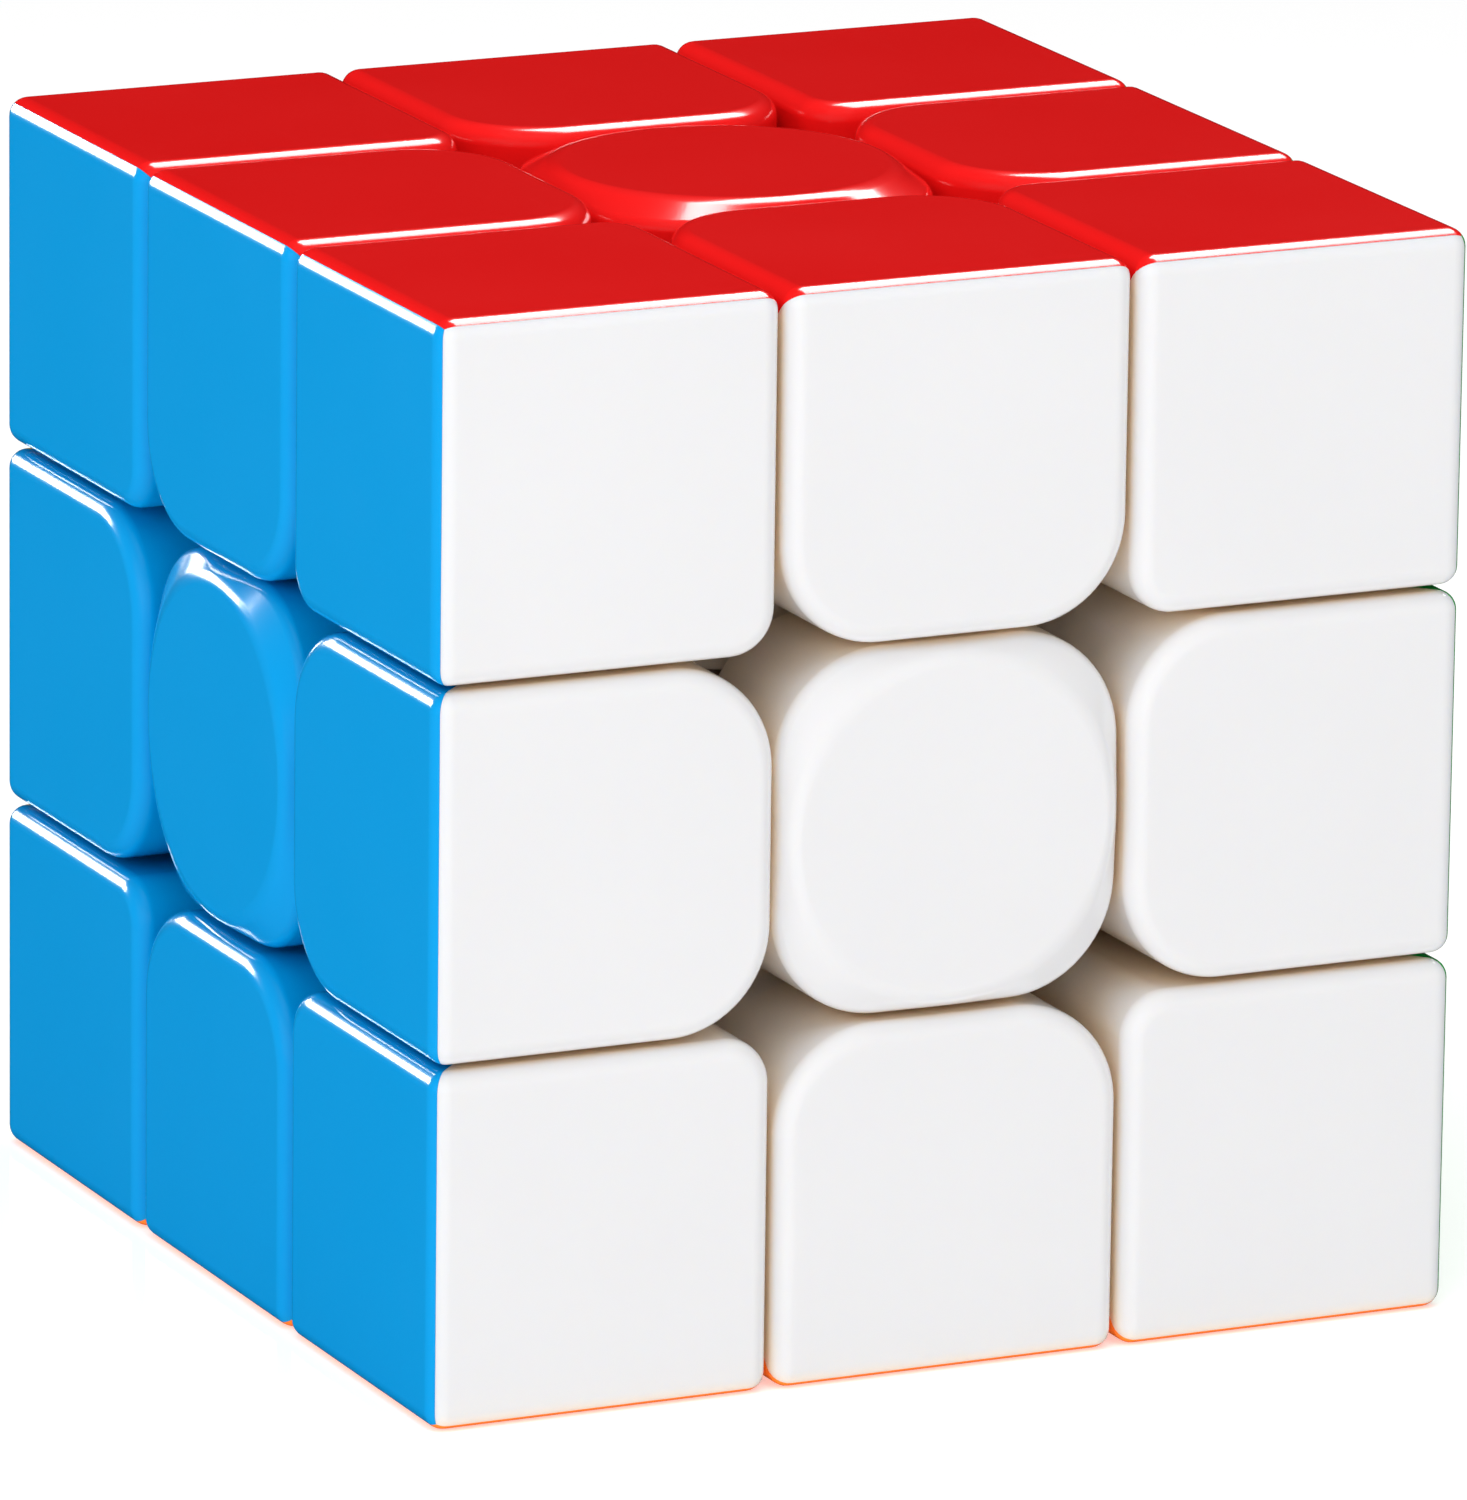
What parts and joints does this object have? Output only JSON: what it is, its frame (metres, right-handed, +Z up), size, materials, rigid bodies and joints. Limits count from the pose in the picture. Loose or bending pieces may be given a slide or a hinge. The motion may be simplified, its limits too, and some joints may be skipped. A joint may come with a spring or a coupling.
{
  "type": "twisty puzzle cube",
  "caption": "Cube puzzle whose coloured corner, edge and centre pieces turn in layers round a hidden core.",
  "frame": {"origin": "centre of the core, where the six turning axes meet, which is also the centre of the cube", "axes": "+Z up through the centre piece of the top face, -Y out through the front face, +X out through the right-hand face"},
  "size_m": [0.056, 0.056, 0.056],
  "materials": {
    "red_plastic": "gloss",
    "white_plastic": "gloss",
    "blue_plastic": "gloss",
    "orange_plastic": "gloss",
    "green_plastic": "gloss",
    "yellow_plastic": "gloss",
    "core_plastic": "satin",
    "steel": "satin"
  },
  "bodies": {
    "core": {"core": "core_plastic", "screws": "steel", "springs": "steel", "washers": "steel"},
    "centre_up": {"centre_up_red_cap_and_stalk": "red_plastic"},
    "centre_down": {"centre_down_orange_cap_and_stalk": "orange_plastic"},
    "centre_front": {"centre_front_white_cap_and_stalk": "white_plastic"},
    "centre_back": {"centre_back_yellow_cap_and_stalk": "yellow_plastic"},
    "centre_right": {"centre_right_green_cap_and_stalk": "green_plastic"},
    "centre_left": {"centre_left_blue_cap_and_stalk": "blue_plastic"},
    "edge_up_front": {"edge_up_front_red_shell": "red_plastic", "edge_up_front_white_shell": "white_plastic"},
    "edge_up_back": {"edge_up_back_red_shell": "red_plastic", "edge_up_back_yellow_shell": "yellow_plastic"},
    "edge_down_front": {"edge_down_front_orange_shell": "orange_plastic", "edge_down_front_white_shell": "white_plastic"},
    "edge_down_back": {"edge_down_back_orange_shell": "orange_plastic", "edge_down_back_yellow_shell": "yellow_plastic"},
    "edge_up_right": {"edge_up_right_green_shell": "green_plastic", "edge_up_right_red_shell": "red_plastic"},
    "edge_up_left": {"edge_up_left_blue_shell": "blue_plastic", "edge_up_left_red_shell": "red_plastic"},
    "edge_down_right": {"edge_down_right_green_shell": "green_plastic", "edge_down_right_orange_shell": "orange_plastic"},
    "edge_down_left": {"edge_down_left_blue_shell": "blue_plastic", "edge_down_left_orange_shell": "orange_plastic"},
    "edge_front_right": {"edge_front_right_green_shell": "green_plastic", "edge_front_right_white_shell": "white_plastic"},
    "edge_front_left": {"edge_front_left_blue_shell": "blue_plastic", "edge_front_left_white_shell": "white_plastic"},
    "edge_back_right": {"edge_back_right_green_shell": "green_plastic", "edge_back_right_yellow_shell": "yellow_plastic"},
    "edge_back_left": {"edge_back_left_blue_shell": "blue_plastic", "edge_back_left_yellow_shell": "yellow_plastic"},
    "corner_up_front_right": {"corner_up_front_right_green_shell": "green_plastic", "corner_up_front_right_red_shell": "red_plastic", "corner_up_front_right_white_shell": "white_plastic"},
    "corner_up_front_left": {"corner_up_front_left_blue_shell": "blue_plastic", "corner_up_front_left_red_shell": "red_plastic", "corner_up_front_left_white_shell": "white_plastic"},
    "corner_up_back_right": {"corner_up_back_right_green_shell": "green_plastic", "corner_up_back_right_red_shell": "red_plastic", "corner_up_back_right_yellow_shell": "yellow_plastic"},
    "corner_up_back_left": {"corner_up_back_left_blue_shell": "blue_plastic", "corner_up_back_left_red_shell": "red_plastic", "corner_up_back_left_yellow_shell": "yellow_plastic"},
    "corner_down_front_right": {"corner_down_front_right_green_shell": "green_plastic", "corner_down_front_right_orange_shell": "orange_plastic", "corner_down_front_right_white_shell": "white_plastic"},
    "corner_down_front_left": {"corner_down_front_left_blue_shell": "blue_plastic", "corner_down_front_left_orange_shell": "orange_plastic", "corner_down_front_left_white_shell": "white_plastic"},
    "corner_down_back_right": {"corner_down_back_right_green_shell": "green_plastic", "corner_down_back_right_orange_shell": "orange_plastic", "corner_down_back_right_yellow_shell": "yellow_plastic"},
    "corner_down_back_left": {"corner_down_back_left_blue_shell": "blue_plastic", "corner_down_back_left_orange_shell": "orange_plastic", "corner_down_back_left_yellow_shell": "yellow_plastic"}
  },
  "joints": [
    {"name": "up_turn", "type": "hinge", "parent": "core", "child": "centre_up", "pos_m": [0, 0, 0], "axis": [0, 0, 1], "continuous": true},
    {"name": "down_turn", "type": "hinge", "parent": "core", "child": "centre_down", "pos_m": [0, 0, 0], "axis": [0, 0, 1], "continuous": true},
    {"name": "front_turn", "type": "hinge", "parent": "core", "child": "centre_front", "pos_m": [0, 0, 0], "axis": [0, 1, 0], "continuous": true},
    {"name": "back_turn", "type": "hinge", "parent": "core", "child": "centre_back", "pos_m": [0, 0, 0], "axis": [0, 1, 0], "continuous": true},
    {"name": "right_turn", "type": "hinge", "parent": "core", "child": "centre_right", "pos_m": [0, 0, 0], "axis": [1, 0, 0], "continuous": true},
    {"name": "left_turn", "type": "hinge", "parent": "core", "child": "centre_left", "pos_m": [0, 0, 0], "axis": [1, 0, 0], "continuous": true},
    {"name": "edge_up_front_with_up", "type": "hinge", "parent": "centre_front", "child": "edge_up_front", "pos_m": [0, 0, 0], "axis": [0, 0, 1], "continuous": true},
    {"name": "edge_up_back_with_up", "type": "hinge", "parent": "centre_back", "child": "edge_up_back", "pos_m": [0, 0, 0], "axis": [0, 0, 1], "continuous": true},
    {"name": "edge_down_front_with_down", "type": "hinge", "parent": "centre_front", "child": "edge_down_front", "pos_m": [0, 0, 0], "axis": [0, 0, 1], "continuous": true},
    {"name": "edge_down_back_with_down", "type": "hinge", "parent": "centre_back", "child": "edge_down_back", "pos_m": [0, 0, 0], "axis": [0, 0, 1], "continuous": true},
    {"name": "edge_up_right_with_right", "type": "hinge", "parent": "centre_up", "child": "edge_up_right", "pos_m": [0, 0, 0], "axis": [1, 0, 0], "continuous": true},
    {"name": "edge_up_left_with_left", "type": "hinge", "parent": "centre_up", "child": "edge_up_left", "pos_m": [0, 0, 0], "axis": [1, 0, 0], "continuous": true},
    {"name": "edge_down_right_with_right", "type": "hinge", "parent": "centre_down", "child": "edge_down_right", "pos_m": [0, 0, 0], "axis": [1, 0, 0], "continuous": true},
    {"name": "edge_down_left_with_left", "type": "hinge", "parent": "centre_down", "child": "edge_down_left", "pos_m": [0, 0, 0], "axis": [1, 0, 0], "continuous": true},
    {"name": "edge_front_right_with_front", "type": "hinge", "parent": "centre_right", "child": "edge_front_right", "pos_m": [0, 0, 0], "axis": [0, 1, 0], "continuous": true},
    {"name": "edge_front_left_with_front", "type": "hinge", "parent": "centre_left", "child": "edge_front_left", "pos_m": [0, 0, 0], "axis": [0, 1, 0], "continuous": true},
    {"name": "edge_back_right_with_back", "type": "hinge", "parent": "centre_right", "child": "edge_back_right", "pos_m": [0, 0, 0], "axis": [0, 1, 0], "continuous": true},
    {"name": "edge_back_left_with_back", "type": "hinge", "parent": "centre_left", "child": "edge_back_left", "pos_m": [0, 0, 0], "axis": [0, 1, 0], "continuous": true},
    {"name": "corner_up_front_right_with_up", "type": "hinge", "parent": "edge_front_right", "child": "corner_up_front_right", "pos_m": [0, 0, 0], "axis": [0, 0, 1], "continuous": true},
    {"name": "corner_up_front_left_with_up", "type": "hinge", "parent": "edge_front_left", "child": "corner_up_front_left", "pos_m": [0, 0, 0], "axis": [0, 0, 1], "continuous": true},
    {"name": "corner_up_back_right_with_up", "type": "hinge", "parent": "edge_back_right", "child": "corner_up_back_right", "pos_m": [0, 0, 0], "axis": [0, 0, 1], "continuous": true},
    {"name": "corner_up_back_left_with_up", "type": "hinge", "parent": "edge_back_left", "child": "corner_up_back_left", "pos_m": [0, 0, 0], "axis": [0, 0, 1], "continuous": true},
    {"name": "corner_down_front_right_with_down", "type": "hinge", "parent": "edge_front_right", "child": "corner_down_front_right", "pos_m": [0, 0, 0], "axis": [0, 0, 1], "continuous": true},
    {"name": "corner_down_front_left_with_down", "type": "hinge", "parent": "edge_front_left", "child": "corner_down_front_left", "pos_m": [0, 0, 0], "axis": [0, 0, 1], "continuous": true},
    {"name": "corner_down_back_right_with_down", "type": "hinge", "parent": "edge_back_right", "child": "corner_down_back_right", "pos_m": [0, 0, 0], "axis": [0, 0, 1], "continuous": true},
    {"name": "corner_down_back_left_with_down", "type": "hinge", "parent": "edge_back_left", "child": "corner_down_back_left", "pos_m": [0, 0, 0], "axis": [0, 0, 1], "continuous": true}
  ],
  "couplings": [
    {"joint": "edge_up_front_with_up", "follows": "up_turn", "ratio": 1},
    {"joint": "edge_up_back_with_up", "follows": "up_turn", "ratio": 1},
    {"joint": "edge_down_front_with_down", "follows": "down_turn", "ratio": 1},
    {"joint": "edge_down_back_with_down", "follows": "down_turn", "ratio": 1},
    {"joint": "edge_up_right_with_right", "follows": "right_turn", "ratio": 1},
    {"joint": "edge_up_left_with_left", "follows": "left_turn", "ratio": 1},
    {"joint": "edge_down_right_with_right", "follows": "right_turn", "ratio": 1},
    {"joint": "edge_down_left_with_left", "follows": "left_turn", "ratio": 1},
    {"joint": "edge_front_right_with_front", "follows": "front_turn", "ratio": 1},
    {"joint": "edge_front_left_with_front", "follows": "front_turn", "ratio": 1},
    {"joint": "edge_back_right_with_back", "follows": "back_turn", "ratio": 1},
    {"joint": "edge_back_left_with_back", "follows": "back_turn", "ratio": 1},
    {"joint": "corner_up_front_right_with_up", "follows": "up_turn", "ratio": 1},
    {"joint": "corner_up_front_left_with_up", "follows": "up_turn", "ratio": 1},
    {"joint": "corner_up_back_right_with_up", "follows": "up_turn", "ratio": 1},
    {"joint": "corner_up_back_left_with_up", "follows": "up_turn", "ratio": 1},
    {"joint": "corner_down_front_right_with_down", "follows": "down_turn", "ratio": 1},
    {"joint": "corner_down_front_left_with_down", "follows": "down_turn", "ratio": 1},
    {"joint": "corner_down_back_right_with_down", "follows": "down_turn", "ratio": 1},
    {"joint": "corner_down_back_left_with_down", "follows": "down_turn", "ratio": 1}
  ]
}
